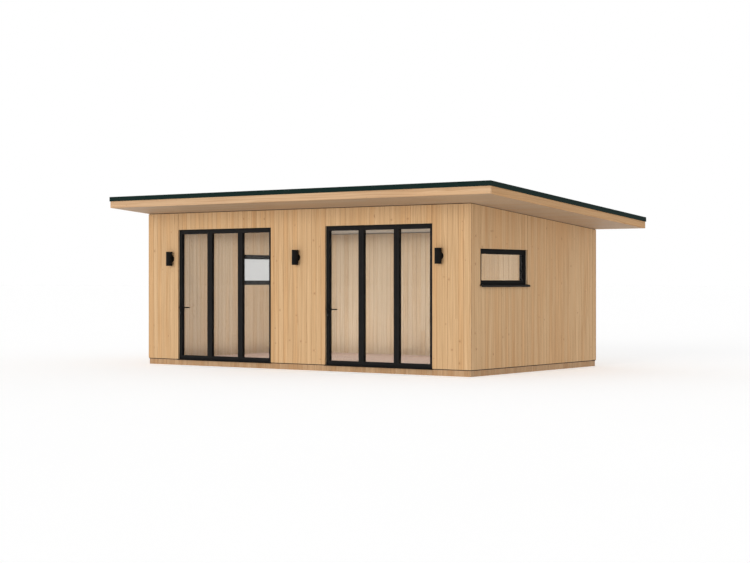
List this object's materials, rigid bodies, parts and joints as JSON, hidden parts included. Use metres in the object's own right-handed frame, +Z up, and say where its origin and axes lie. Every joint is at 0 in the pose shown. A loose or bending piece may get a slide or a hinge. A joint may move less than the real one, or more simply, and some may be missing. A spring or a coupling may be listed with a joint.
{
  "type": "garden office pod",
  "caption": "Timber garden office with a mono-pitch roof that oversails the front and one side, glazed folding doors across the front and a low wide window in each side wall.",
  "frame": {"origin": "centre of the whole pod's bounding box, at ground level under the base", "axes": "+X along the front towards the side where the roof oversails, +Y from the front to the rear, +Z up"},
  "size_m": [7.167, 4.558, 2.6897],
  "materials": {
    "base_timber": "sawn",
    "floor_boards": "lacquered",
    "wall_lining": "planed",
    "cladding": "oiled",
    "door_frame": "satin powder coat",
    "glazing": "clear",
    "handle_black": "satin",
    "sill_black": "satin",
    "soffit": "planed",
    "roof_structure": "sawn",
    "membrane": "matt",
    "edge_trim": "satin",
    "fascia": "oiled",
    "light_black": "satin"
  },
  "bodies": {
    "root": {"base_frame": "base_timber", "floor_deck": "floor_boards", "front_wall_left": "wall_lining", "front_wall_centre": "wall_lining", "front_wall_right": "wall_lining", "front_wall_header": "wall_lining", "rear_wall": "wall_lining", "left_wall": "wall_lining", "right_wall": "wall_lining", "front_cladding": "cladding", "rear_cladding": "cladding", "left_cladding": "cladding", "right_cladding": "cladding", "left_door_frame": "door_frame", "left_door_leaf_1": "door_frame", "left_door_leaf_2": "door_frame", "left_door_leaf_3": "door_frame", "left_door_glass": "glazing", "left_window_glass": "glazing", "left_door_handles": "handle_black", "left_door_sill": "sill_black", "left_window_sill": "sill_black", "left_window_frame": "door_frame", "right_door_frame": "door_frame", "right_door_leaf_1": "door_frame", "right_door_leaf_2": "door_frame", "right_door_leaf_3": "door_frame", "right_door_glass": "glazing", "right_window_glass": "glazing", "right_door_handles": "handle_black", "right_door_sill": "sill_black", "right_window_sill": "sill_black", "right_window_frame": "door_frame", "soffit_lining": "soffit", "roof_panel": "roof_structure", "roof_membrane": "membrane", "roof_edge_trim": "edge_trim", "front_fascia": "fascia", "rear_fascia": "fascia", "left_fascia": "fascia", "right_fascia": "fascia", "wall_light_left": "light_black", "wall_light_centre": "light_black", "wall_light_right": "light_black"}
  },
  "joints": []
}
